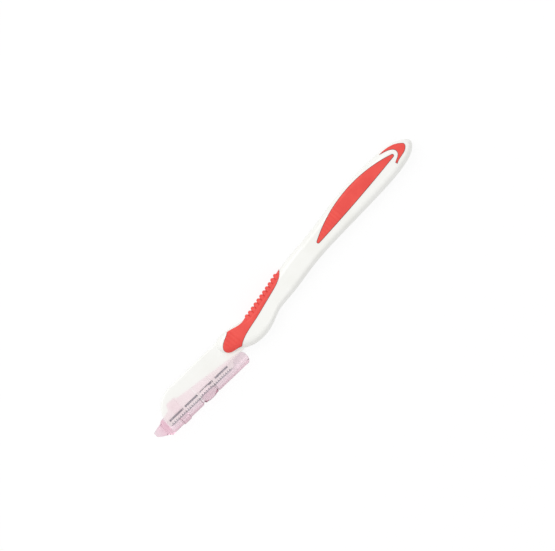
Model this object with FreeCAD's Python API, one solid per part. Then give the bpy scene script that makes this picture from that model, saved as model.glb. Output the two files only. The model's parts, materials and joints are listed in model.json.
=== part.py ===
import FreeCAD, Part
import math
import os
from FreeCAD import Placement, Rotation, Vector

# An eyebrow razor with its blade cover on, lying on the rubber of its far face. Lengths are in mm.
# The handle frame starts at the front of the neck, with +X towards the tail and +Z towards the face shown.
# The head frame starts where the blade line meets the nose, with +X along the blade towards the handle
# and the cutting edge on its -Y side. The finished part stands on the centre of its own footprint.

# Handle core, a flat bar with rounded shoulders along a curved outline
HANDLE_LENGTH = 109.7
HANDLE_WIDTH = 11.8
HANDLE_THICKNESS = 6.6
SHOULDER_REACH = 2.7
SHOULDER_LEVELS = 12

# Stations along the handle: place along the length, then the upper and the lower edge as shares of the width
HANDLE_EDGE_SHARES = (
    (0.008, 0.196, -0.212),
    (0.027, 0.301, -0.379),
    (0.062, 0.284, -0.529),
    (0.094, 0.203, -0.690),
    (0.126, 0.100, -0.778),
    (0.168, 0.058, -0.794),
    (0.203, 0.090, -0.735),
    (0.242, 0.127, -0.622),
    (0.305, 0.193, -0.586),
    (0.365, 0.268, -0.566),
    (0.439, 0.301, -0.512),
    (0.523, 0.312, -0.503),
    (0.622, 0.368, -0.546),
    (0.717, 0.403, -0.595),
    (0.815, 0.372, -0.637),
    (0.896, 0.287, -0.634),
    (0.949, 0.163, -0.570),
    (0.984, -0.020, -0.435),
)
TAIL_TIP_SHARE = -0.236
SEAM_STATION = 11

# Rubber inlays, moulded into pockets of the core and standing a little proud of it
POCKET_DEPTH = 0.9
POCKET_EDGE_DEPTH = 0.1
INLAY_ROOT_SHARE = 0.2
RUBBER_PROUD = 0.2
INLAY_CORNER_RADIUS = 0.65

# Thumb grip: the hood, the flank that runs up to the upper edge, and the long lower edge of its tail.
# The flank and the tail end run out past the handle, so the rubber goes over the edge between them.
GRIP_HOOD_SHARES = (
    (0.066, -0.464), (0.040, -0.366), (0.018, -0.255), (0.013, -0.131), (0.022, 0.008), (0.045, 0.120),
    (0.070, 0.222),
)
GRIP_FLANK_SHARES = ((0.070, 0.222), (0.090, 0.160), (0.115, 0.080), (0.141, 0.068), (0.164, 0.229))
GRIP_OUTSIDE_SHARES = ((0.164, 0.229), (0.354, 0.556), (0.368, 0.425))
GRIP_TAIL_SHARES = (
    (0.368, 0.425), (0.354, 0.255), (0.339, 0.131), (0.312, 0.020), (0.270, -0.062), (0.217, -0.150),
    (0.164, -0.229), (0.122, -0.281), (0.094, -0.340), (0.066, -0.464),
)
TOOTH_PITCH = 1.89
TOOTH_RADIUS = 0.8
TOOTH_HEIGHT = 0.65
TOOTH_END_REACH = 1.5
TEETH_START_SHARE = 0.157
TEETH_END_SHARE = 0.331

# Palm leaf: its two ends and the middle of its upper and its lower arc
PALM_END_SHARES = ((0.493, -0.163), (0.942, -0.157))
PALM_UPPER_SHARE = (0.717, 0.317)
PALM_LOWER_SHARE = (0.734, -0.199)

# Tail crescent: outer edge from the upper to the lower tip, then the inner edge back
TAIL_OUTER_SHARES = (
    (0.888, 0.235), (0.921, 0.196), (0.949, 0.098), (0.968, -0.033), (0.976, -0.157), (0.968, -0.261),
    (0.942, -0.340), (0.907, -0.412),
)
TAIL_INNER_SHARES = (
    (0.905, -0.333), (0.923, -0.268), (0.935, -0.190), (0.938, -0.078), (0.930, 0.039), (0.912, 0.147),
    (0.888, 0.235),
)

# Blade head, two plates with the blade between them, turned down a little from the line of the handle
HEAD_TILT_DEGREES = 5.57
HEAD_WIDTH = 9.3
HEAD_THICKNESS = 3.4
HEAD_EDGE_RADIUS = 0.7
HEAD_TANG = 8.6
NOSE_RADIUS = 10.0
NECK_GAP = 0.9
NECK_HEIGHT_SHARE = 0.64

# Guard, the thin lower edge of the plates, with rinse windows above it and notches along it
GUARD_DROP = 1.9
GUARD_EDGE_THICKNESS = 1.25
GUARD_BEVEL_TOP = 0.4
GUARD_FOOT = 1.0
GUARD_CORNER_RADIUS = 0.6
WINDOW_COUNT = 4
WINDOW_HEIGHT = 0.8
WINDOW_RUNG = 1.4
NOTCH_PITCH = 1.0
NOTCH_WIDTH = 0.6
NOTCH_DEPTH = 0.45

# Blade, a steel strip held on pegs
BLADE_LENGTH = 32.0
BLADE_WIDTH = 6.2
BLADE_THICKNESS = 0.25
BLADE_EXPOSURE = 0.55
BLADE_SETBACK = 0.6
BLADE_BEVEL = 0.8
BLADE_EDGE_LAND = 0.03
BLADE_CORNER_RADIUS = 0.5
BLADE_TOP_RADIUS = 2.4
SEAT_CLEARANCE = 0.1
PEG_DIAMETER = 1.8
PEG_PLACE_SHARE = 0.67
PEG_ENGAGEMENT = 1.0
PEG_CLEARANCE = 0.1
PEG_SHARES = (0.17, 0.5, 0.83)

# Blade cover, a clear channel that slides along the blade, closed by a solid nose to pull on
CAP_CLEARANCE = 0.3
CAP_WALL = 0.9
CAP_FLOOR = 1.1
CAP_EDGE_ROOM = 1.5
CAP_FLOOR_GAP = 1.6
CAP_OVERHANG = 7.7
CAP_FRONT_WALL = 1.6
CAP_CORNER_RADIUS = 1.5
CAP_REAR_RADIUS = 2.6
CAP_MOUTH_FRONT = 1.9
CAP_MOUTH_REAR = 0.45
CAP_NOSE_LENGTH = 4.5
CAP_NOSE_STEP = 0.3
CAP_NOSE_TIP_HEIGHT = 2.5
CAP_NOSE_TIP_THICKNESS = 2.2
CAP_NOSE_TIP_DROP = 0.7
NOSE_ROUND_SHARE = 0.64
NOSE_PLACE_SHARES = (0.0, 0.45, 0.88, 1.0)
NOSE_SIZE_SHARES = (0.0, 0.5, 1.0, 1.25)

# Clip strap of the cover, with a bead on its far side that runs in a groove of the head
TAB_START = 4.6
TAB_WIDTH = 3.9
TAB_HEIGHT = 5.2
TAB_SLOPE = 1.0
STRAP_RISE = 0.35
BEAD_RADIUS = 0.55
BEAD_LENGTH = 2.6
BEAD_HEIGHT = 3.9

# Oval finger pad of the cover, between two flutes
PAD_PLACE = 19.7
PAD_LENGTH = 6.2
PAD_RISE = 0.55
PAD_BULGE = 0.35
PAD_TAPER = 0.75
FRONT_FLUTE_WIDTH = 1.4
REAR_FLUTE_WIDTH = 0.8
FLUTE_DEPTH = 0.45
FLUTE_SLOPE = 0.3

# How far cutting solids run past what they cut, and how near two points are one point
OVERRUN = 1.0
SAME_POINT = 0.001

# Places worked out from the sizes above
BLADE_END = BLADE_SETBACK + BLADE_LENGTH
BLADE_LOW = -(GUARD_DROP + BLADE_EXPOSURE)
NECK_FRONT = Vector(BLADE_END + NECK_GAP, NECK_HEIGHT_SHARE * HEAD_WIDTH, 0)
HEAD_HALF = HEAD_THICKNESS / 2
PARTING = BLADE_THICKNESS / 2
CAVITY_HALF = HEAD_HALF + CAP_CLEARANCE
CAVITY_FLOOR = BLADE_LOW - CAP_EDGE_ROOM
CAP_HALF = CAVITY_HALF + CAP_WALL
CAP_LOW = CAVITY_FLOOR - CAP_FLOOR
CAP_FRONT = -(CAP_CLEARANCE + CAP_FRONT_WALL)
CAP_REAR = BLADE_END + CAP_OVERHANG


# Joining and cutting, always on copies, because a boolean may change the shapes that it is given

def cut(shape, *tools):
    """The shape without the tools."""
    for tool in tools:
        shape = shape.copy().cut(tool.copy())
    return shape


def fuse(shape, *others):
    """The shape joined with the others."""
    for other in others:
        shape = shape.copy().fuse(other.copy())
    return shape


def common(shape, other):
    """What two shapes share."""
    return shape.copy().common(other.copy())


# Curves and outlines

def spline(points):
    """An open smooth edge through the points."""
    curve = Part.BSplineCurve()
    curve.interpolate(Points=points)
    return curve.toShape()


def arc(start, middle, end):
    """A circular edge through three points."""
    return Part.Arc(start, middle, end).toShape()


def line(start, end):
    """A straight edge."""
    return Part.LineSegment(start, end).toShape()


def rounded_wire(corners):
    """A closed wire through (point, radius) corners, each radius limited by the sides it stands on."""
    points = [point for point, _ in corners]
    count = len(points)
    to_last = [(points[i - 1] - points[i]).normalize() for i in range(count)]
    to_next = [(points[(i + 1) % count] - points[i]).normalize() for i in range(count)]
    halves = [to_last[i].getAngle(to_next[i]) / 2 for i in range(count)]
    reach = [corners[i][1] / math.tan(halves[i]) for i in range(count)]
    room = [1.0] * count
    for i in range(count):
        following = (i + 1) % count
        needed = reach[i] + reach[following]
        side = points[i].distanceToPoint(points[following])
        if needed > side:
            room[i] = min(room[i], side / needed)
            room[following] = min(room[following], side / needed)
    edges = []
    starts = [points[i] + to_last[i] * reach[i] * room[i] for i in range(count)]
    ends = [points[i] + to_next[i] * reach[i] * room[i] for i in range(count)]
    for i in range(count):
        radius = corners[i][1] * room[i]
        if radius:
            inward = (to_last[i] + to_next[i]).normalize()
            middle = points[i] + inward * (radius / math.sin(halves[i]) - radius)
            edges.append(arc(starts[i], middle, ends[i]))
        following = (i + 1) % count
        if ends[i].distanceToPoint(starts[following]) > SAME_POINT:
            edges.append(line(ends[i], starts[following]))
    return Part.Wire(edges)


def slab(wire, low, high):
    """The solid between two heights whose outline, drawn at height zero, is the wire."""
    solid = Part.Face(wire).extrude(Vector(0, 0, high - low))
    solid.translate(Vector(0, 0, low))
    return solid


def block(low, high):
    """A box between two opposite corners."""
    size = high - low
    return Part.makeBox(size.x, size.y, size.z, low)


# Handle form

def on_handle(share):
    """The point of the handle frame at a pair of shares of its length and width."""
    return Vector(share[0] * HANDLE_LENGTH, share[1] * HANDLE_WIDTH, 0)


def handle_outline(inset, height):
    """The handle's closed outline, drawn in towards its spine by the inset and lifted to the height.

    It starts at the seam station, on the upper edge between two inlays.
    """
    lengthwise = 1 - 2 * inset / HANDLE_LENGTH
    crosswise = 1 - 2 * inset / HANDLE_WIDTH
    middle = HANDLE_LENGTH / 2

    def drawn_in(share, edge_share, spine_share):
        x = middle + (share * HANDLE_LENGTH - middle) * lengthwise
        y = (spine_share + (edge_share - spine_share) * crosswise) * HANDLE_WIDTH
        return Vector(x, y, height)

    upper = [drawn_in(x, top, (top + low) / 2) for x, top, low in HANDLE_EDGE_SHARES]
    lower = [drawn_in(x, low, (top + low) / 2) for x, top, low in reversed(HANDLE_EDGE_SHARES)]
    front = drawn_in(0, 0, 0)
    tail = drawn_in(1, TAIL_TIP_SHARE, TAIL_TIP_SHARE)
    points = [front] + upper + [tail] + lower
    return points[SEAM_STATION:] + points[:SEAM_STATION]


def closed_spline(points, spacing):
    """A closed smooth wire through the points, at the given running lengths."""
    curve = Part.BSplineCurve()
    curve.interpolate(Points=points, PeriodicFlag=True, Parameters=spacing)
    return Part.Wire([curve.toShape()])


def running_lengths(points):
    """The length along the closed polygon of the points at each of them and back at the first."""
    lengths = [0.0]
    for start, end in zip(points, points[1:] + points[:1]):
        lengths.append(lengths[-1] + start.distanceToPoint(end))
    return lengths


def handle_form(edge_grow, face_grow):
    """The handle's outer form, grown at its edges and faces, with elliptical shoulders and flat faces."""
    spacing = running_lengths(handle_outline(0, 0))
    half = HANDLE_THICKNESS / 2 + face_grow
    wires = []
    for level in range(SHOULDER_LEVELS + 1):
        angle = math.pi * (level / SHOULDER_LEVELS - 0.5)
        inset = SHOULDER_REACH * (1 - math.cos(angle)) - edge_grow
        wires.append(closed_spline(handle_outline(inset, half * math.sin(angle)), spacing))
    return Part.makeLoft(wires, True, False)


# Rubber inlays

def through_handle(wire, low_share, high_share):
    """A solid of the outline between two shares of the handle's thickness."""
    return slab(wire, low_share * HANDLE_THICKNESS, high_share * HANDLE_THICKNESS)


def upright_edges(solid, places):
    """The edges of a slab that stand on the given points of its outline."""
    chosen = []
    for edge in solid.Edges:
        ends = [vertex.Point for vertex in edge.Vertexes]
        if len(ends) < 2:
            continue
        flat = [Vector(end.x, end.y, 0) for end in ends]
        stands = flat[0].distanceToPoint(flat[1]) < SAME_POINT
        if stands and any(flat[0].distanceToPoint(place) < SAME_POINT for place in places):
            chosen.append(edge)
    return chosen


def grip_outline():
    """The thumb grip's closed outline on the handle."""
    hood = [on_handle(share) for share in GRIP_HOOD_SHARES]
    flank = [on_handle(share) for share in GRIP_FLANK_SHARES]
    outside = [on_handle(share) for share in GRIP_OUTSIDE_SHARES]
    tail = [on_handle(share) for share in GRIP_TAIL_SHARES]
    edges = [spline(hood), spline(flank)]
    edges += [line(start, end) for start, end in zip(outside, outside[1:])]
    edges.append(spline(tail))
    return Part.Wire(edges)


def grip_prism():
    """The thumb grip's outline through the whole handle, with its hood's two corners rounded."""
    prism = through_handle(grip_outline(), -1, 1)
    corners = [on_handle(GRIP_HOOD_SHARES[0]), on_handle(GRIP_HOOD_SHARES[-1])]
    return prism.makeFillet(INLAY_CORNER_RADIUS, upright_edges(prism, corners))


def grip_teeth():
    """Round ridges across the upper edge, spaced along it."""
    start = TEETH_START_SHARE * HANDLE_LENGTH
    run = (TEETH_END_SHARE - TEETH_START_SHARE) * HANDLE_LENGTH
    points = handle_outline(-RUBBER_PROUD, 0)
    edge = closed_spline(points, running_lengths(points))
    teeth = []
    for index in range(int(run / TOOTH_PITCH) + 1):
        x = start + index * TOOTH_PITCH
        upright = line(Vector(x, 0, 0), Vector(x, HANDLE_WIDTH, 0))
        crest = edge.distToShape(upright)[1][0][0] + Vector(0, TOOTH_HEIGHT, 0)
        side = Vector(TOOTH_RADIUS, 0, 0)
        centre = crest - Vector(0, TOOTH_RADIUS, 0)
        root = centre - Vector(0, SHOULDER_REACH, 0)
        wire = Part.Wire([
            arc(centre - side, crest, centre + side),
            line(centre + side, root + side),
            line(root + side, root - side),
            line(root - side, centre - side),
        ])
        teeth.append(through_handle(wire, -1, 1))
    return Part.makeCompound(teeth)


def palm_outline():
    """The palm leaf's outline, two arcs."""
    front, rear = (on_handle(share) for share in PALM_END_SHARES)
    return Part.Wire([
        arc(front, on_handle(PALM_UPPER_SHARE), rear),
        arc(rear, on_handle(PALM_LOWER_SHARE), front),
    ])


def palm_prism(low_share, high_share):
    """The palm leaf's outline through part of the handle, with rounded ends."""
    prism = through_handle(palm_outline(), low_share, high_share)
    ends = [on_handle(share) for share in PALM_END_SHARES]
    return prism.makeFillet(INLAY_CORNER_RADIUS, upright_edges(prism, ends))


def tail_prism(low_share, high_share):
    """The tail crescent's outline through part of the handle."""
    outer = [on_handle(share) for share in TAIL_OUTER_SHARES]
    inner = [on_handle(share) for share in TAIL_INNER_SHARES]
    wire = Part.Wire([spline(outer), line(outer[-1], inner[0]), spline(inner)])
    return through_handle(wire, low_share, high_share)


# Blade head

def head_plate(outer):
    """One plate of the head, from the parting plane to its outer face, with its edges worked."""
    guard_end = BLADE_END + GUARD_FOOT
    tang_end = NECK_FRONT.x + HEAD_TANG
    wire = rounded_wire([
        (Vector(0, -GUARD_DROP, 0), GUARD_CORNER_RADIUS),
        (Vector(guard_end, -GUARD_DROP, 0), GUARD_CORNER_RADIUS),
        (Vector(guard_end + GUARD_DROP, 0, 0), 0),
        (Vector(tang_end, 0, 0), 0),
        (Vector(tang_end, HEAD_WIDTH, 0), 0),
        (Vector(0, HEAD_WIDTH, 0), NOSE_RADIUS),
    ])
    plate = slab(wire, PARTING, outer)
    rim = [
        edge for edge in plate.Edges
        if edge.BoundBox.ZLength < SAME_POINT and abs(edge.CenterOfMass.z - outer) < SAME_POINT
        and edge.BoundBox.YMax > HEAD_WIDTH - SAME_POINT and edge.BoundBox.XMin < NECK_FRONT.x
    ]
    plate = plate.makeFillet(HEAD_EDGE_RADIUS, rim)
    return cut(plate, bevel_wedge(outer), windows(), notches())


def bevel_wedge(outer):
    """What is cut away to thin a plate towards the cutting edge."""
    side = math.copysign(1, outer)
    top = Vector(-OVERRUN, GUARD_BEVEL_TOP, outer)
    low = Vector(-OVERRUN, -GUARD_DROP, side * GUARD_EDGE_THICKNESS / 2)
    along = (top - low).normalize() * OVERRUN
    top = top + along
    low = low - along
    face = Part.Face(Part.makePolygon([top, low, Vector(-OVERRUN, low.y, top.z), top]))
    return face.extrude(Vector(NECK_FRONT.x + HEAD_TANG + 2 * OVERRUN, 0, 0))


def windows():
    """The row of rinse windows along the blade."""
    pitch = BLADE_LENGTH / WINDOW_COUNT
    cuts = []
    for index in range(WINDOW_COUNT):
        start = BLADE_SETBACK + index * pitch + WINDOW_RUNG / 2
        low = Vector(start, -WINDOW_HEIGHT, -HEAD_THICKNESS)
        cuts.append(block(low, Vector(start + pitch - WINDOW_RUNG, 0, HEAD_THICKNESS)))
    return Part.makeCompound(cuts)


def notches():
    """Small notches along the guard's edge that let hairs reach the blade."""
    count = int(BLADE_LENGTH / NOTCH_PITCH) - 1
    start = BLADE_SETBACK + (BLADE_LENGTH - (count - 1) * NOTCH_PITCH) / 2
    flare = NOTCH_WIDTH / 2 * (1 + OVERRUN / NOTCH_DEPTH)
    cuts = []
    for index in range(count):
        x = start + index * NOTCH_PITCH
        left = Vector(x - flare, -GUARD_DROP - OVERRUN, -HEAD_THICKNESS)
        right = Vector(x + flare, -GUARD_DROP - OVERRUN, -HEAD_THICKNESS)
        peak = Vector(x, -GUARD_DROP + NOTCH_DEPTH, -HEAD_THICKNESS)
        face = Part.Face(Part.makePolygon([left, right, peak, left]))
        cuts.append(face.extrude(Vector(0, 0, 2 * HEAD_THICKNESS)))
    return Part.makeCompound(cuts)


def bead_groove():
    """The groove in the head's far face in which the cover's bead slides, open at the nose."""
    room = BEAD_RADIUS + CAP_CLEARANCE
    end = TAB_START + (TAB_WIDTH + BEAD_LENGTH) / 2 + CAP_CLEARANCE
    low = Vector(-OVERRUN, BEAD_HEIGHT - room, -HEAD_HALF - OVERRUN)
    return block(low, Vector(end, BEAD_HEIGHT + room, BEAD_RADIUS - HEAD_HALF))


def peg_places():
    """Centres of the pegs along the blade."""
    height = BLADE_LOW + PEG_PLACE_SHARE * BLADE_WIDTH
    return [Vector(BLADE_SETBACK + share * BLADE_LENGTH, height, -PARTING) for share in PEG_SHARES]


def pegs(radius, length):
    """Upright cylinders on the blade's seat, used as pegs and to cut their holes."""
    return Part.makeCompound([Part.makeCylinder(radius, length, place) for place in peg_places()])


def blade_bed():
    """The rear plate with the blade's seat and pegs, and the groove for the cover's bead."""
    front = BLADE_SETBACK - SEAT_CLEARANCE
    rear = BLADE_END + SEAT_CLEARANCE
    low = -GUARD_DROP - OVERRUN
    top = BLADE_LOW + BLADE_WIDTH + SEAT_CLEARANCE
    seat = slab(rounded_wire([
        (Vector(front, low, 0), 0),
        (Vector(rear, low, 0), 0),
        (Vector(rear, top, 0), BLADE_TOP_RADIUS + SEAT_CLEARANCE),
        (Vector(front, top, 0), BLADE_TOP_RADIUS + SEAT_CLEARANCE),
    ]), -PARTING, PARTING)
    peg_length = BLADE_THICKNESS + PEG_ENGAGEMENT
    plate = cut(head_plate(-HEAD_HALF), seat, bead_groove())
    return fuse(plate, pegs(PEG_DIAMETER / 2, peg_length))


def front_plate():
    """The front plate with its blind peg sockets."""
    socket_length = BLADE_THICKNESS + PEG_ENGAGEMENT + PEG_CLEARANCE
    return cut(head_plate(HEAD_HALF), pegs(PEG_DIAMETER / 2 + PEG_CLEARANCE / 2, socket_length))


def blade():
    """The steel strip with its ground edge, rounded corners and peg holes."""
    top = BLADE_LOW + BLADE_WIDTH
    profile = [
        Vector(BLADE_SETBACK, top, PARTING),
        Vector(BLADE_SETBACK, BLADE_LOW + BLADE_BEVEL, PARTING),
        Vector(BLADE_SETBACK, BLADE_LOW, BLADE_EDGE_LAND / 2),
        Vector(BLADE_SETBACK, BLADE_LOW, -BLADE_EDGE_LAND / 2),
        Vector(BLADE_SETBACK, BLADE_LOW + BLADE_BEVEL, -PARTING),
        Vector(BLADE_SETBACK, top, -PARTING),
    ]
    strip = Part.Face(Part.makePolygon(profile + profile[:1])).extrude(Vector(BLADE_LENGTH, 0, 0))
    outline = rounded_wire([
        (Vector(BLADE_SETBACK, BLADE_LOW, 0), BLADE_CORNER_RADIUS),
        (Vector(BLADE_END, BLADE_LOW, 0), BLADE_CORNER_RADIUS),
        (Vector(BLADE_END, top, 0), BLADE_TOP_RADIUS),
        (Vector(BLADE_SETBACK, top, 0), BLADE_TOP_RADIUS),
    ])
    holes = pegs(PEG_DIAMETER / 2 + PEG_CLEARANCE, BLADE_THICKNESS)
    return cut(common(strip, slab(outline, -PARTING, PARTING)), holes)


# Blade cover

def cap_bar(places):
    """The cover's filled outer section along the blade, through (place, outward growth) pairs."""
    sections = []
    for x, grow in places:
        half = CAP_HALF + grow
        low_half = CAP_FLOOR_GAP / 2 + CAP_WALL + grow
        low = CAP_LOW - grow
        top = TAB_HEIGHT + OVERRUN
        sections.append(rounded_wire([
            (Vector(x, top, half), 0),
            (Vector(x, -GUARD_DROP, half), CAP_CORNER_RADIUS),
            (Vector(x, low, low_half), CAP_WALL),
            (Vector(x, low, -low_half), CAP_WALL),
            (Vector(x, -GUARD_DROP, -half), CAP_CORNER_RADIUS),
            (Vector(x, top, -half), 0),
        ]))
    return Part.makeLoft(sections, True, True)


def cap_cavity():
    """The channel inside the cover, open at the rear and along the top."""
    start = -CAP_CLEARANCE
    top = TAB_HEIGHT + 2 * OVERRUN
    low_half = CAP_FLOOR_GAP / 2
    wire = rounded_wire([
        (Vector(start, top, CAVITY_HALF), 0),
        (Vector(start, -GUARD_DROP - CAP_CLEARANCE, CAVITY_HALF), CAP_WALL),
        (Vector(start, CAVITY_FLOOR, low_half), low_half / 2),
        (Vector(start, CAVITY_FLOOR, -low_half), low_half / 2),
        (Vector(start, -GUARD_DROP - CAP_CLEARANCE, -CAVITY_HALF), CAP_WALL),
        (Vector(start, top, -CAVITY_HALF), 0),
    ])
    return Part.Face(wire).extrude(Vector(CAP_REAR + OVERRUN - start, 0, 0))


def cap_side():
    """The cover's side outline through its whole thickness, with the clip tab on its upper edge."""
    tab_end = TAB_START + TAB_WIDTH
    low = CAP_LOW - STRAP_RISE
    wire = rounded_wire([
        (Vector(CAP_FRONT, low, 0), CAP_CORNER_RADIUS),
        (Vector(CAP_REAR, low, 0), CAP_REAR_RADIUS),
        (Vector(CAP_REAR, CAP_MOUTH_REAR, 0), CAP_REAR_RADIUS),
        (Vector(tab_end + TAB_SLOPE, TAB_HEIGHT - TAB_SLOPE, 0), TAB_SLOPE),
        (Vector(tab_end, TAB_HEIGHT, 0), TAB_SLOPE),
        (Vector(TAB_START, TAB_HEIGHT, 0), TAB_SLOPE),
        (Vector(TAB_START - TAB_SLOPE, CAP_MOUTH_FRONT + TAB_SLOPE, 0), TAB_SLOPE),
        (Vector(CAP_FRONT, CAP_MOUTH_FRONT, 0), CAP_WALL),
    ])
    return slab(wire, -CAP_HALF - OVERRUN, CAP_HALF + OVERRUN)


def cap_nose():
    """The solid nose that closes the cover, narrowing to a blunt tip."""
    root_top = CAP_MOUTH_FRONT - CAP_NOSE_STEP
    root_low = CAP_LOW + CAP_NOSE_STEP
    root_half = CAP_HALF - CAP_NOSE_STEP
    tip_top = CAP_NOSE_TIP_HEIGHT / 2 - CAP_NOSE_TIP_DROP
    tip_low = -CAP_NOSE_TIP_HEIGHT / 2 - CAP_NOSE_TIP_DROP
    sections = []
    for place_share, size_share in zip(NOSE_PLACE_SHARES, NOSE_SIZE_SHARES):
        x = CAP_FRONT + CAP_NOSE_STEP - place_share * (CAP_NOSE_LENGTH + CAP_NOSE_STEP)
        top = root_top + (tip_top - root_top) * size_share
        low = root_low + (tip_low - root_low) * size_share
        half = root_half + (CAP_NOSE_TIP_THICKNESS / 2 - root_half) * size_share
        radius = min(half, (top - low) / 2) * NOSE_ROUND_SHARE
        sections.append(rounded_wire([
            (Vector(x, top, half), radius),
            (Vector(x, low, half), radius),
            (Vector(x, low, -half), radius),
            (Vector(x, top, -half), radius),
        ]))
    return Part.makeLoft(sections, True, False)


def cap_pad():
    """The oval finger pad, a barrel set into the cover along the blade."""
    swell = CAP_HALF + PAD_RISE
    front = Vector(PAD_PLACE - (PAD_LENGTH + FRONT_FLUTE_WIDTH) / 2, 0, 0)
    middle = Vector(PAD_PLACE, swell, 0)
    rear = Vector(PAD_PLACE + (PAD_LENGTH + REAR_FLUTE_WIDTH) / 2, 0, 0)
    end = Vector(0, swell - PAD_TAPER, 0)
    wire = Part.Wire([
        arc(front + end, middle, rear + end),
        line(rear + end, rear),
        line(rear, front),
        line(front, front + end),
    ])
    pad = Part.Face(wire).revolve(Vector(0, 0, 0), Vector(1, 0, 0), 360)
    pad.translate(Vector(0, CAP_LOW - PAD_BULGE + swell, 0))
    return pad


def cap_flutes():
    """Two finger flutes with sloping sides across the cover, one on each side of the pad."""
    front = PAD_PLACE - PAD_LENGTH / 2
    rear = PAD_PLACE + PAD_LENGTH / 2
    reach = CAP_HALF + PAD_RISE + OVERRUN
    cuts = []
    for start, end in ((front - FRONT_FLUTE_WIDTH, front), (rear, rear + REAR_FLUTE_WIDTH)):
        waist = cap_bar([
            (start - FLUTE_SLOPE, FLUTE_DEPTH),
            (start + FLUTE_SLOPE, -FLUTE_DEPTH),
            (end - FLUTE_SLOPE, -FLUTE_DEPTH),
            (end + FLUTE_SLOPE, FLUTE_DEPTH),
        ])
        low = Vector(start - FLUTE_SLOPE, CAP_LOW - OVERRUN, -reach)
        cuts.append(cut(block(low, Vector(end + FLUTE_SLOPE, TAB_HEIGHT, reach)), waist))
    return Part.makeCompound(cuts)


def cap_bead():
    """The bead inside the clip strap's far side that holds the cover down on the head."""
    start = Vector(TAB_START + (TAB_WIDTH - BEAD_LENGTH) / 2, BEAD_HEIGHT, -CAVITY_HALF)
    return Part.makeCylinder(BEAD_RADIUS, BEAD_LENGTH, start, Vector(1, 0, 0))


def cap_strap():
    """The clip strap, a band with sloping sides round the cover."""
    end = TAB_START + TAB_WIDTH
    return cap_bar([
        (TAB_START - STRAP_RISE, -STRAP_RISE),
        (TAB_START + STRAP_RISE, STRAP_RISE),
        (end - STRAP_RISE, STRAP_RISE),
        (end + STRAP_RISE, -STRAP_RISE),
    ])


def blade_cap(neck):
    """The whole cover in the handle frame, kept clear of the neck."""
    bar = common(fuse(cap_bar([(CAP_FRONT, 0), (CAP_REAR, 0)]), cap_strap()), cap_side())
    body = fuse(bar, cap_nose(), cap_pad())
    body = fuse(cut(body, cap_flutes(), cap_cavity()), cap_bead())
    return cut(on_head(body), neck)


def on_head(shape):
    """A shape of the head frame, set on the front of the neck."""
    turn = Rotation(Vector(0, 0, 1), -HEAD_TILT_DEGREES)
    placed = shape.copy()
    placed.Placement = Placement(turn.multVec(NECK_FRONT) * -1, turn).multiply(placed.Placement)
    return placed


# Assembly

def rubber(prism, proud, inner):
    """The part of an inlay's outline that lies between the pocket floor and the proud surface."""
    return cut(common(proud, prism), inner)


def build():
    """All pieces in the handle frame, by node name."""
    outer = handle_form(0, 0)
    inner = handle_form(-POCKET_EDGE_DEPTH, -POCKET_DEPTH)
    proud = handle_form(RUBBER_PROUD, RUBBER_PROUD)
    tooth_ends = handle_form(TOOTH_END_REACH, 0)
    grip = grip_prism()
    teeth = cut(common(common(tooth_ends, grip_teeth()), grip), inner)
    prisms = {
        "palm_inlay_front": palm_prism(INLAY_ROOT_SHARE, 1),
        "palm_inlay_back": palm_prism(-1, -INLAY_ROOT_SHARE),
        "tail_inlay_front": tail_prism(INLAY_ROOT_SHARE, 1),
        "tail_inlay_back": tail_prism(-1, -INLAY_ROOT_SHARE),
    }
    pockets = [cut(prism, inner) for prism in [grip] + list(prisms.values())]
    pieces = {
        "handle_core": cut(fuse(outer, on_head(blade_bed())), *pockets),
        "head_cover": cut(on_head(front_plate()), outer),
        "blade": on_head(blade()),
        "thumb_grip": fuse(rubber(grip, proud, inner), teeth),
        "blade_cap": blade_cap(handle_form(CAP_CLEARANCE, CAP_CLEARANCE)),
    }
    for name, prism in prisms.items():
        pieces[name] = rubber(prism, proud, inner)
    return {name: piece.Solids[0] for name, piece in pieces.items()}


def main():
    """Stand the part on the centre of its footprint and write one file for each piece."""
    pieces = build()
    box = Part.makeCompound(list(pieces.values())).optimalBoundingBox(False, False)
    shift = Vector(-box.Center.x, -box.Center.y, -box.ZMin)
    os.makedirs("parts", exist_ok=True)
    for name, shape in pieces.items():
        shape.translate(shift)
        print(name, shape.ShapeType, len(shape.Solids), shape.isValid(), round(shape.Volume, 2))
        shape.exportStep("parts/" + name + ".step")
    print("size", [round(length, 2) for length in (box.XLength, box.YLength, box.ZLength)])
    print("shift", [round(length, 3) for length in shift])


main()
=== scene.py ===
"""Looks of an eyebrow razor: white handle, red rubber grips, steel blade and a clear pink blade cover."""

import json
import logging
import math
from dataclasses import dataclass
from enum import Enum
from typing import Any, Optional, Union

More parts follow.
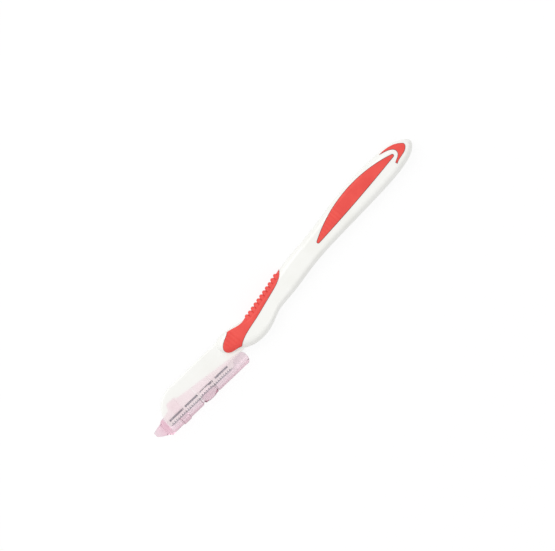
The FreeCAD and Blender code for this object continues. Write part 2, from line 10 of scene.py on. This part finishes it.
import bmesh
import bpy
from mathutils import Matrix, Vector


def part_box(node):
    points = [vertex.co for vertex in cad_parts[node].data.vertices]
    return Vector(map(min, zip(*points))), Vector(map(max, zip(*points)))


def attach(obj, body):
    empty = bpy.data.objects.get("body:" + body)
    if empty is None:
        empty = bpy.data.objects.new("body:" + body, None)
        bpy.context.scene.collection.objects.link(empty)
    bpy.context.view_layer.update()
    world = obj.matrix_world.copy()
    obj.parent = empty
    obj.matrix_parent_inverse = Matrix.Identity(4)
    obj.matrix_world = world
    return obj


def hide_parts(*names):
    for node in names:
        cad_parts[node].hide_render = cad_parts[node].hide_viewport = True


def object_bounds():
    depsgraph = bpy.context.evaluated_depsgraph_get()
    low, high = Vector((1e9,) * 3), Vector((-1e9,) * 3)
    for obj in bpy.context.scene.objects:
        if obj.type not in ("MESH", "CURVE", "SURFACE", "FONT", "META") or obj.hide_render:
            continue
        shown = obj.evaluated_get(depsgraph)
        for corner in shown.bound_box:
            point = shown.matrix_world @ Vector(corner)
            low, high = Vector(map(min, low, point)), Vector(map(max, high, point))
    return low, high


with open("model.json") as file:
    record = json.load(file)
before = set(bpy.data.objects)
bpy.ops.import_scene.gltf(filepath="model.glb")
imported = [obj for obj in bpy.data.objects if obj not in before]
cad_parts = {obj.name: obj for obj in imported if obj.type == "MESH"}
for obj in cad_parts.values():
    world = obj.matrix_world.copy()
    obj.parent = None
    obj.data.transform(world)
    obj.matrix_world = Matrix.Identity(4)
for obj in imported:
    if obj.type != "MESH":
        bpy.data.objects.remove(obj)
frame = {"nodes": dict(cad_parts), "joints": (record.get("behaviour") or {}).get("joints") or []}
CAD_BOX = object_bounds()

LOG = logging.getLogger("eyebrow_razor")
MM = 0.001

# Height of the handle's parting plane over the table, which is half the razor's thickness
MID_HEIGHT = (CAD_BOX[0][2] + CAD_BOX[1][2]) / 2
# Way in which the blade cover slides off, along the blade
SLIDE_WAY = Vector(frame["joints"][0]["axis"])
NOISE_MIDDLE = 0.5

Colour = tuple[float, float, float]
Span = tuple[float, float]
Number = Union[float, "Wire"]


class Face(Enum):
    """The broad faces of the handle."""

    FRONT = "front"
    BACK = "back"


class Wire:
    """A value on a node board, with operators that add Math nodes."""

    def __init__(self, board: "Board", socket: bpy.types.NodeSocket) -> None:
        """Wrap an output socket of the board."""
        self.board = board
        self.socket = socket

    def _math(self, operation: str, *values: Number) -> "Wire":
        """Add a Math node.

        Args:
            operation: The Math node's operation.
            values: Numbers or wires for its inputs, in order.

        Returns:
            The node's result.
        """
        return self.board.node("ShaderNodeMath", {"operation": operation}, dict(enumerate(values))).out()

    def __add__(self, other: Number) -> "Wire":
        """Sum."""
        return self._math("ADD", self, other)

    def __radd__(self, other: Number) -> "Wire":
        """Sum, reflected."""
        return self._math("ADD", other, self)

    def __sub__(self, other: Number) -> "Wire":
        """Difference."""
        return self._math("SUBTRACT", self, other)

    def __rsub__(self, other: Number) -> "Wire":
        """Difference, reflected."""
        return self._math("SUBTRACT", other, self)

    def __mul__(self, other: Number) -> "Wire":
        """Product."""
        return self._math("MULTIPLY", self, other)

    def __rmul__(self, other: Number) -> "Wire":
        """Product, reflected."""
        return self._math("MULTIPLY", other, self)

    def __abs__(self) -> "Wire":
        """Size without sign."""
        return self._math("ABSOLUTE", self)

    def largest(self, other: Number) -> "Wire":
        """The larger of two values."""
        return self._math("MAXIMUM", self, other)

    def ramp(self, low: float, high: float) -> "Wire":
        """Zero at low, one at high, smooth between.

        Args:
            low: The value that gives zero.
            high: The value that gives one.

        Returns:
            The eased value.
        """
        inputs = {"Value": self, "From Min": low, "From Max": high}
        return self.board.node("ShaderNodeMapRange", {"interpolation_type": "SMOOTHSTEP"}, inputs).out()


class Placed:
    """A node on a board."""

    def __init__(self, board: "Board", node: bpy.types.Node) -> None:
        """Remember the node and its board."""
        self.board = board
        self.node = node

    def out(self, name: Union[str, int] = 0) -> Wire:
        """One of the node's outputs."""
        return Wire(self.board, self.node.outputs[name])


class Board:
    """The node tree of one material or world."""

    def __init__(self, tree: bpy.types.NodeTree) -> None:
        """Start with an empty tree."""
        self.tree = tree
        tree.nodes.clear()

    def node(self, kind: str, settings: Optional[dict[str, Any]] = None,
             inputs: Optional[dict[Union[str, int], Any]] = None) -> Placed:
        """Add a node.

        Args:
            kind: The node's type.
            settings: Properties set before its sockets, such as an operation.
            inputs: Values or wires by socket name or number.

        Returns:
            The placed node.
        """
        made = self.tree.nodes.new(kind)
        for name, value in (settings or {}).items():
            setattr(made, name, value)
        for name, value in (inputs or {}).items():
            if isinstance(value, Wire):
                self.tree.links.new(value.socket, made.inputs[name])
            else:
                made.inputs[name].default_value = value
        return Placed(self, made)

    @staticmethod
    def full(colour: Union[Colour, Wire]) -> Any:
        """A colour with its alpha, as a socket takes it; a wire stays as it is."""
        return colour if isinstance(colour, Wire) else (*colour, 1.0)

    def mix(self, factor: Number, low: Union[Colour, Wire], high: Union[Colour, Wire]) -> Wire:
        """Blend two colours.

        Args:
            factor: Zero gives the low colour, one the high colour.
            low: A colour or a wire.
            high: A colour or a wire.

        Returns:
            The blended colour.
        """
        # Sockets 6, 7 and 2 of a Mix node are its two colours and its blended colour
        inputs = {0: factor, 6: self.full(low), 7: self.full(high)}
        return self.node("ShaderNodeMix", {"data_type": "RGBA"}, inputs).out(2)

    def place(self) -> Wire:
        """Object coordinates in metres."""
        return self.node("ShaderNodeTexCoord").out("Object")

    def turned(self, vector: Wire, about_z: float, origin: Vector) -> Wire:
        """Coordinates in a frame that is moved and turned.

        Args:
            vector: Coordinates to turn.
            about_z: Angle from +X of the new first axis, in radians.
            origin: The new origin in the old coordinates.

        Returns:
            The turned coordinates.
        """
        moved = self.node("ShaderNodeVectorMath", {"operation": "SUBTRACT"}, {0: vector, 1: origin}).out()
        inputs = {"Vector": moved, "Rotation": (0.0, 0.0, -about_z)}
        return self.node("ShaderNodeMapping", {"vector_type": "POINT"}, inputs).out()

    def stretched(self, vector: Wire, scale: tuple[float, float, float]) -> Wire:
        """Coordinates multiplied axis by axis."""
        return self.node("ShaderNodeVectorMath", {"operation": "MULTIPLY"}, {0: vector, 1: scale}).out()

    def noise(self, vector: Wire, scale: float, detail: float) -> Wire:
        """Noise around one half.

        Args:
            vector: Coordinates in metres.
            scale: Waves in a metre.
            detail: Octaves.

        Returns:
            The noise value.
        """
        inputs = {"Vector": vector, "Scale": scale, "Detail": detail}
        return self.node("ShaderNodeTexNoise", {}, inputs).out()

    def axes(self, vector: Wire) -> tuple[Wire, Wire, Wire]:
        """The three numbers of a vector."""
        split = self.node("ShaderNodeSeparateXYZ", {}, {0: vector})
        return split.out(0), split.out(1), split.out(2)

    def bump(self, height: Wire, distance: float, strength: float) -> Wire:
        """A normal that shows a height.

        Args:
            height: Height from zero to one.
            distance: What one stands for, in metres.
            strength: Share of the effect.

        Returns:
            The normal.
        """
        inputs = {"Height": height, "Distance": distance, "Strength": strength}
        return self.node("ShaderNodeBump", {}, inputs).out()

    def surface(self, inside: Optional[Wire] = None, **inputs: Any) -> None:
        """Finish a material with one Principled shader.

        Args:
            inside: A volume shader for what light passes through.
            inputs: Values or wires by socket name, with underscores for spaces.
        """
        named = {name.replace("_", " "): value for name, value in inputs.items()}
        outputs = {"Surface": self.node("ShaderNodeBsdfPrincipled", {}, named).out()}
        if inside is not None:
            outputs = {"Surface": self.lets_lamps_through(outputs["Surface"]), "Volume": inside}
        self.node("ShaderNodeOutputMaterial", {}, outputs)

    def lets_lamps_through(self, shader: Wire) -> Wire:
        """Clear plastic that doesn't shut out the light of what lies inside it.

        Args:
            shader: The plastic's own shader.

        Returns:
            The shader, open to light on its way from lamps and between dull surfaces.
        """
        path = self.node("ShaderNodeLightPath")
        lit = path.out("Is Shadow Ray").largest(path.out("Is Diffuse Ray"))
        opened = self.node("ShaderNodeBsdfTransparent").out()
        return self.node("ShaderNodeMixShader", {}, {0: lit, 1: shader, 2: opened}).out()


def new_material(name: str) -> tuple[bpy.types.Material, Board]:
    """Make an empty node material.

    Args:
        name: The material's name.

    Returns:
        The material and its board.
    """
    material = bpy.data.materials.new(name)
    material.use_nodes = True
    return material, Board(material.node_tree)


@dataclass(frozen=True)
class WhitePlastic:
    """White moulded plastic with a soft gloss, faint flow clouds and a parting line round its edge."""

    light: Colour = (0.93, 0.93, 0.90)
    warm: Colour = (0.90, 0.90, 0.86)
    line_colour: Colour = (0.62, 0.62, 0.58)
    line_share: float = 0.10
    line_width: float = 0.06 * MM
    line_core: float = 0.4
    cloud_scale: float = 90.0
    cloud_span: Span = (0.35, 0.7)
    grain_scale: float = 2600.0
    octaves: float = 3.0
    roughness: float = 0.30
    cloud_roughness: float = 0.10
    grain_roughness: float = 0.08
    grain_relief: float = 0.25
    line_relief: float = 0.5
    relief: float = 0.02 * MM
    relief_share: float = 0.4
    coat: float = 0.15
    coat_roughness: float = 0.2

    def make(self) -> bpy.types.Material:
        """Build the material.

        Returns:
            The material.
        """
        material, board = new_material("white_plastic")
        place = board.place()
        _, _, height = board.axes(place)
        cloud = board.noise(place, self.cloud_scale, self.octaves)
        grain = board.noise(place, self.grain_scale, self.octaves)
        line = 1 - abs(height - MID_HEIGHT).ramp(self.line_width * self.line_core, self.line_width)
        colour = board.mix(cloud.ramp(*self.cloud_span), self.light, self.warm)
        colour = board.mix(line * self.line_share, colour, self.line_colour)
        rough = self.roughness + (cloud - NOISE_MIDDLE) * self.cloud_roughness
        rough = rough + (grain - NOISE_MIDDLE) * self.grain_roughness
        skin = grain * self.grain_relief + line * self.line_relief
        normal = board.bump(skin, self.relief, self.relief_share)
        board.surface(Base_Color=colour, Roughness=rough, Normal=normal,
                      Coat_Weight=self.coat, Coat_Roughness=self.coat_roughness)
        return material


@dataclass(frozen=True)
class RedRubber:
    """Satin red rubber with a fine stippled skin and slightly paler, dusty high spots."""

    name: str = "red_rubber"
    deep: Colour = (0.80, 0.058, 0.046)
    bright: Colour = (0.86, 0.078, 0.060)
    dusty: Colour = (0.90, 0.13, 0.11)
    cloud_scale: float = 150.0
    cloud_octaves: float = 3.0
    cloud_span: Span = (0.3, 0.7)
    stipple_scale: float = 4200.0
    stipple_octaves: float = 2.0
    dust_span: Span = (0.55, 0.8)
    dust_share: float = 0.25
    roughness: float = 0.52
    cloud_roughness: float = 0.12
    stipple_roughness: float = 0.16
    relief: float = 0.03 * MM
    relief_share: float = 0.6

    def make(self) -> bpy.types.Material:
        """Build the material.

        Returns:
            The material.
        """
        material, board = new_material(self.name)
        place = board.place()
        cloud = board.noise(place, self.cloud_scale, self.cloud_octaves)
        stipple = board.noise(place, self.stipple_scale, self.stipple_octaves)
        colour = board.mix(cloud.ramp(*self.cloud_span), self.deep, self.bright)
        colour = board.mix(stipple.ramp(*self.dust_span) * self.dust_share, colour, self.dusty)
        rough = self.roughness + (cloud - NOISE_MIDDLE) * self.cloud_roughness
        rough = rough + (stipple - NOISE_MIDDLE) * self.stipple_roughness
        normal = board.bump(stipple, self.relief, self.relief_share)
        board.surface(Base_Color=colour, Roughness=rough, Normal=normal)
        return material


@dataclass(frozen=True)
class BladeSteel:
    """Blade steel, brushed along its length, with a brighter ground bevel at the cutting edge."""

    steel: Colour = (0.30, 0.31, 0.33)
    bright: Colour = (0.46, 0.47, 0.50)
    edge_point: Vector = Vector((-68.2 * MM, -2.1 * MM, MID_HEIGHT))
    bevel_height: float = 0.8 * MM
    bevel_blur: float = 0.05
    brush_scale: tuple[float, float, float] = (300.0, 14000.0, 3000.0)
    ground_scale: tuple[float, float, float] = (22000.0, 600.0, 3000.0)
    octaves: float = 4.0
    streak_span: Span = (0.3, 0.75)
    roughness: float = 0.24
    streak_roughness: float = 0.2
    bevel_polish: float = 0.1
    relief: float = 0.006 * MM
    relief_share: float = 0.5

    def make(self) -> bpy.types.Material:
        """Build the material.

        Returns:
            The material.
        """
        material, board = new_material("blade_steel")
        along = math.atan2(-SLIDE_WAY.y, -SLIDE_WAY.x)
        place = board.turned(board.place(), along, self.edge_point)
        _, across, _ = board.axes(place)
        low, high = (self.bevel_height * (1 + side * self.bevel_blur) for side in (-1, 1))
        bevel = 1 - across.ramp(low, high)
        brush = board.noise(board.stretched(place, self.brush_scale), 1.0, self.octaves)
        ground = board.noise(board.stretched(place, self.ground_scale), 1.0, self.octaves)
        streak = brush * (1 - bevel) + ground * bevel
        colour = board.mix(streak.ramp(*self.streak_span), self.steel, self.bright)
        rough = self.roughness + streak * self.streak_roughness - bevel * self.bevel_polish
        normal = board.bump(streak, self.relief, self.relief_share)
        board.surface(Base_Color=colour, Metallic=1.0, Roughness=rough, Normal=normal)
        return material


@dataclass(frozen=True)
class PinkClear:
    """Clear pink moulded plastic, polished, a little cloudy."""

    clear: Colour = (1.0, 0.985, 0.992)
    deep: Colour = (0.995, 0.965, 0.98)
    refraction: float = 1.45
    through: Colour = (0.87, 0.49, 0.64)
    absorption_per_m: float = 155.0
    cloud_scale: float = 160.0
    cloud_octaves: float = 3.0
    cloud_span: Span = (0.3, 0.7)
    grain_scale: float = 1800.0
    grain_octaves: float = 2.0
    roughness: float = 0.04
    cloud_roughness: float = 0.03
    grain_roughness: float = 0.03
    relief: float = 0.05 * MM
    relief_share: float = 0.3

    def make(self) -> bpy.types.Material:
        """Build the material.

        Returns:
            The material.
        """
        material, board = new_material("pink_clear")
        place = board.place()
        cloud = board.noise(place, self.cloud_scale, self.cloud_octaves)
        grain = board.noise(place, self.grain_scale, self.grain_octaves)
        colour = board.mix(cloud.ramp(*self.cloud_span), self.clear, self.deep)
        rough = self.roughness + (cloud - NOISE_MIDDLE) * self.cloud_roughness
        rough = rough + (grain - NOISE_MIDDLE) * self.grain_roughness
        normal = board.bump(cloud, self.relief, self.relief_share)
        absorbs = {"Color": board.full(self.through), "Density": self.absorption_per_m}
        inside = board.node("ShaderNodeVolumeAbsorption", {}, absorbs).out()
        board.surface(inside, Base_Color=colour, Roughness=rough, Normal=normal,
                      Transmission_Weight=1.0, IOR=self.refraction)
        return material


@dataclass
class Studio:
    """A plain white floor, even light, one soft lamp and a camera straight over the razor."""

    image_width: float = 214.2 * MM
    centre: tuple[float, float] = (2.2 * MM, 4.95 * MM)
    turn: float = math.radians(-49.2555)
    camera_height: float = 1.6
    sensor_mm: float = 36.0

    white: Colour = (1.0, 1.0, 1.0)
    floor_side: float = 6.0
    floor_drop: float = 0.02 * MM
    floor_light: Colour = (0.86, 0.86, 0.86)
    floor_dark: Colour = (0.84, 0.84, 0.84)
    speck_scale: float = 900.0
    speck_octaves: float = 2.0
    speck_share: float = 0.3
    floor_glow: float = 1.03
    glow_share: float = 0.86
    # Painted shadow: near the razor, the floor seen through clear plastic and in mirrors keeps only this
    # share of its glow
    painted_shadow_share: float = 0.55
    painted_shadow_reach: float = 0.10
    painted_shadow_fade: float = 0.25

    ambient: float = 0.77
    horizon: float = 0.22
    horizon_rise: float = 0.6

    lamp_way: Vector = Vector((-0.25, 0.75, 1.0)).normalized()
    lamp_distance: float = 1.2
    lamp_side: float = 0.9
    lamp_watts: float = 5.0

    def camera(self) -> None:
        """Set the camera over the razor, square on to its face."""
        data = bpy.data.cameras.new("camera")
        data.sensor_width = self.sensor_mm
        data.lens = self.sensor_mm * self.camera_height / self.image_width
        camera = bpy.data.objects.new("camera", data)
        camera.location = (*self.centre, self.camera_height)
        camera.rotation_euler = (0.0, 0.0, self.turn)
        bpy.context.scene.collection.objects.link(camera)
        bpy.context.scene.camera = camera

    def lamp(self) -> None:
        """Hang a soft square lamp that is aimed at the razor."""
        data = bpy.data.lights.new("key", "AREA")
        data.size = self.lamp_side
        data.energy = self.lamp_watts
        lamp = bpy.data.objects.new("key", data)
        lamp.location = self.lamp_way * self.lamp_distance
        lamp.rotation_mode = "QUATERNION"
        lamp.rotation_quaternion = self.lamp_way.to_track_quat("Z", "Y")
        bpy.context.scene.collection.objects.link(lamp)

    def seen_directly(self, board: Board) -> Wire:
        """Find the rays that see a thing itself, and not only its light.

        Args:
            board: The board of the thing's material or of the world.

        Returns:
            One on rays from the camera, a mirror or clear plastic, else zero.
        """
        path = board.node("ShaderNodeLightPath")
        seen = path.out("Is Camera Ray").largest(path.out("Is Glossy Ray"))
        return seen.largest(path.out("Is Transmission Ray"))

    def floor_material(self) -> bpy.types.Material:
        """Build a matte white that glows where it is seen, so that only a faint shadow shows on it; near
        the razor its glow is cut as painted shadow where it is seen in mirrors and through clear plastic.

        Returns:
            The material.
        """
        material, board = new_material("floor_white")
        place = board.place()
        speck = board.noise(place, self.speck_scale, self.speck_octaves)
        colour = board.mix(speck * self.speck_share, self.floor_light, self.floor_dark)
        matte = board.node("ShaderNodeBsdfDiffuse", {}, {"Color": colour})
        glows = {"Color": board.full(self.white), "Strength": self.floor_glow}
        glow = board.node("ShaderNodeEmission", {}, glows)
        east, north, _ = board.axes(place)
        # Painted shadow: near the razor the floor glows less for rays from mirrors and through clear
        # plastic, standing in for the razor's shadow; farther out it glows at the horizon share
        painted_shadow_zone = 1 - (east * east + north * north).ramp(self.painted_shadow_reach ** 2, self.painted_shadow_fade ** 2)
        bent = painted_shadow_zone * (self.painted_shadow_share - self.horizon) + self.horizon
        camera = board.node("ShaderNodeLightPath").out("Is Camera Ray")
        share = self.seen_directly(board) * camera.largest(bent) * self.glow_share
        mixed = board.node("ShaderNodeMixShader", {}, {0: share, 1: matte.out(), 2: glow.out()})
        board.node("ShaderNodeOutputMaterial", {}, {"Surface": mixed.out()})
        return material

    def floor(self) -> None:
        """Lay the floor."""
        bpy.ops.mesh.primitive_plane_add(size=self.floor_side, location=(0.0, 0.0, -self.floor_drop))
        floor = bpy.context.object
        floor.name = "floor"
        floor.data.materials.append(self.floor_material())

    def world(self) -> None:
        """Surround the razor with even white light that is darker low down in mirrors and clear plastic."""
        world = bpy.data.worlds.new("studio")
        bpy.context.scene.world = world
        world.use_nodes = True
        board = Board(world.node_tree)
        path = board.node("ShaderNodeLightPath")
        _, _, up = board.axes(board.node("ShaderNodeTexCoord").out("Generated"))
        mirrored = path.out("Is Glossy Ray").largest(path.out("Is Transmission Ray"))
        mirrored_strength = self.horizon + (1 - self.horizon) * up.ramp(0.0, self.horizon_rise)
        camera = path.out("Is Camera Ray")
        strength = self.ambient * (1 - self.seen_directly(board)) + camera + mirrored * mirrored_strength
        shines = {"Color": board.full(self.white), "Strength": strength}
        sky = board.node("ShaderNodeBackground", {}, shines)
        board.node("ShaderNodeOutputWorld", {}, {"Surface": sky.out()})

    def build(self) -> None:
        """Set up floor, light and camera."""
        bpy.context.scene.view_settings.view_transform = "Standard"
        self.floor()
        self.world()
        self.lamp()
        self.camera()
        LOG.info("studio: floor, world, key lamp and camera")


@dataclass(frozen=True)
class GripGrooves:
    """A row of shallow round-bottomed grooves across a rubber face."""

    first: float
    count: int
    pitch: float = 1.5 * MM
    width: float = 0.75 * MM
    depth: float = 0.13 * MM
    reach: float = 0.35 * MM
    cuts: int = 6
    cut_merge: float = 1e-7

    def sunk(self, offset: float, under_face: float) -> float:
        """Find how deep a spot of the rubber is pressed in.

        Args:
            offset: Distance of the spot from the groove's middle line.
            under_face: Depth of the spot under the razor's outermost face.

        Returns:
            The depth in metres, less for spots deep in the rubber.
        """
        share = min(max(1 - under_face / self.reach, 0.0), 1.0)
        return share * self.depth * (1 + math.cos(2 * math.pi * offset / self.width)) / 2

    def press(self, shape: bmesh.types.BMesh) -> None:
        """Press the grooves into a rubber shape, on whichever broad faces it has.

        Args:
            shape: The shape, which is cut where the grooves run and made of triangles.
        """
        along = Vector((1.0, 0.0, 0.0))
        for row in range(self.count):
            for cut in range(self.cuts + 1):
                place = self.first + row * self.pitch + (cut / self.cuts - 0.5) * self.width
                parts = shape.verts[:] + shape.edges[:] + shape.faces[:]
                bmesh.ops.bisect_plane(shape, geom=parts, dist=self.cut_merge,
                                       plane_co=along * place, plane_no=along)
        for vertex in shape.verts:
            run = vertex.co.x - self.first
            row = min(max(round(run / self.pitch), 0), self.count - 1)
            offset = run - row * self.pitch
            if abs(offset) < self.width / 2:
                height = vertex.co.z - MID_HEIGHT
                vertex.co.z -= math.copysign(self.sunk(offset, MID_HEIGHT - abs(height)), height)
        bmesh.ops.triangulate(shape, faces=shape.faces[:])


@dataclass
class RubberInlay:
    """A rubber inlay made from its solid, with a softened rim, painted near-black as painted shade where it
    meets the plastic.
    """

    node: str
    rim: float = 0.2 * MM
    grooves: Optional[GripGrooves] = None
    ridge_span: Optional[Span] = None
    root_room: float = 0.4 * MM
    ridge_room: float = 0.19 * MM
    rim_angle: float = math.radians(50.0)
    rim_segments: int = 3
    flat_limit: float = math.radians(0.3)
    smooth_limit: float = math.radians(10.0)
    merge: float = 1e-6
    body: str = "razor"

    def is_rim(self, edge: bmesh.types.BMEdge) -> bool:
        """Tell whether an edge is to be rounded.

        Args:
            edge: An edge of the rubber.

        Returns:
            True on a sharp outer corner that is clear of the rubber's root in the handle.
        """
        if len(edge.link_faces) != 2 or not edge.is_convex or edge.calc_face_angle(0.0) < self.rim_angle:
            return False
        return all(abs(vertex.co.z - MID_HEIGHT) >= self.root_room for vertex in edge.verts)

    def is_painted_shade(self, face: bmesh.types.BMFace) -> bool:
        """Tell whether a face of the rim gets the painted shade.

        Args:
            face: A face of the rim.

        Returns:
            True where the face lies along the plastic, and not on one of the ridges.
        """
        middle = face.calc_center_median()
        if self.ridge_span is None or not self.ridge_span[0] < middle.x < self.ridge_span[1]:
            return True
        return abs(middle.z - MID_HEIGHT) > MID_HEIGHT - self.ridge_room

    def shape(self) -> bmesh.types.BMesh:
        """Round the rim of the solid, press its grooves and keep it in the solid's box.

        Returns:
            The shape, with the second material, the painted shade, on the faces of its rim along the
            plastic.
        """
        shape = bmesh.new()
        shape.from_mesh(frame["nodes"][self.node].data)
        bmesh.ops.remove_doubles(shape, verts=shape.verts[:], dist=self.merge)
        bmesh.ops.dissolve_limit(shape, angle_limit=self.flat_limit,
                                 verts=shape.verts[:], edges=shape.edges[:])
        shape.normal_update()
        rims = [edge for edge in shape.edges if self.is_rim(edge)]
        made = bmesh.ops.bevel(shape, geom=rims, offset=self.rim, offset_type="OFFSET",
                               segments=self.rim_segments, profile=0.5, affect="EDGES",
                               clamp_overlap=False, material=-1)
        for face in shape.faces:
            face.material_index = 0
        # Rim faces along the plastic take the near-black painted shade; the other faces stay rubber
        for face in made["faces"]:
            face.material_index = int(self.is_painted_shade(face))
        if self.grooves is not None:
            self.grooves.press(shape)
        low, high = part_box(self.node)
        for vertex in shape.verts:
            vertex.co = [min(max(vertex.co[axis], low[axis]), high[axis]) for axis in range(3)]
        return shape

    def build(self, rubber: bpy.types.Material, painted_shade: bpy.types.Material) -> None:
        """Make the piece in place of its solid.

        Args:
            rubber: Finish of the skin.
            painted_shade: Painted shade for the faces of the rim along the plastic.
        """
        mesh = bpy.data.meshes.new(self.node + ".soft")
        shape = self.shape()
        shape.to_mesh(mesh)
        shape.free()
        mesh.materials.append(rubber)
        mesh.materials.append(painted_shade)
        mesh.shade_smooth()
        mesh.set_sharp_from_angle(angle=self.smooth_limit)
        piece = bpy.data.objects.new(self.node + ".soft", mesh)
        bpy.context.scene.collection.objects.link(piece)
        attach(piece, self.body)
        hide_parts(self.node)
        LOG.info("%s: %d faces", piece.name, len(mesh.polygons))


@dataclass
class RubberGrips:
    """The five rubber inlays of the handle: a thumb grip, and a palm leaf and a crescent on each face."""

    # Places along the handle, in the frame's own X
    hood_grooves: GripGrooves = GripGrooves(first=-30.6 * MM, count=4)
    palm_grooves: GripGrooves = GripGrooves(first=25.5 * MM, count=8)
    ridge_span: Span = (-19.0 * MM, 3.0 * MM)
    # Sizes of the rubber's rims and of the crescents' roots in the handle
    thumb_rim: float = 0.16 * MM
    tail_rim: float = 0.18 * MM
    tail_root: float = 1.4 * MM
    skin: RedRubber = RedRubber()
    # Painted shade: a near-black red on the rim where the rubber meets the plastic, standing in for the
    # shade in that joint
    painted_shade: RedRubber = RedRubber("red_rubber_painted_shade", deep=(0.17, 0.013, 0.012),
                                bright=(0.20, 0.017, 0.015), dusty=(0.25, 0.03, 0.027))

    def inlays(self) -> list[RubberInlay]:
        """List the inlays.

        Returns:
            The thumb grip, then the leaf and the crescent of each face.
        """
        found = [RubberInlay("thumb_grip", self.thumb_rim, self.hood_grooves, self.ridge_span)]
        for face in Face:
            found.append(RubberInlay("palm_inlay_" + face.value, grooves=self.palm_grooves))
            found.append(RubberInlay("tail_inlay_" + face.value, self.tail_rim, root_room=self.tail_root))
        return found

    def build(self) -> None:
        """Make all five."""
        rubber = self.skin.make()
        painted_shade = self.painted_shade.make()
        for inlay in self.inlays():
            inlay.build(rubber, painted_shade)


@dataclass
class PlainSolids:
    """The handle, the head, the blade and its cover, which keep the shape of their solids."""

    white_nodes: tuple[str, ...] = ("handle_core", "head_cover")
    plastic: WhitePlastic = WhitePlastic()
    steel: BladeSteel = BladeSteel()
    clear: PinkClear = PinkClear()

    def dress(self, node: str, material: bpy.types.Material) -> None:
        """Give one solid its material.

        Args:
            node: The solid's name.
            material: Its material.
        """
        data = frame["nodes"][node].data
        data.materials.clear()
        data.materials.append(material)
        LOG.info("%s: %s", node, material.name)

    def build(self) -> None:
        """Dress every solid."""
        white = self.plastic.make()
        for node in self.white_nodes:
            self.dress(node, white)
        self.dress("blade", self.steel.make())
        self.dress("blade_cap", self.clear.make())


def main() -> None:
    """Build the razor and the studio."""
    logging.basicConfig(level=logging.INFO, format="%(name)s %(message)s")
    PlainSolids().build()
    RubberGrips().build()
    Studio().build()


if __name__ == "__main__":
    main()
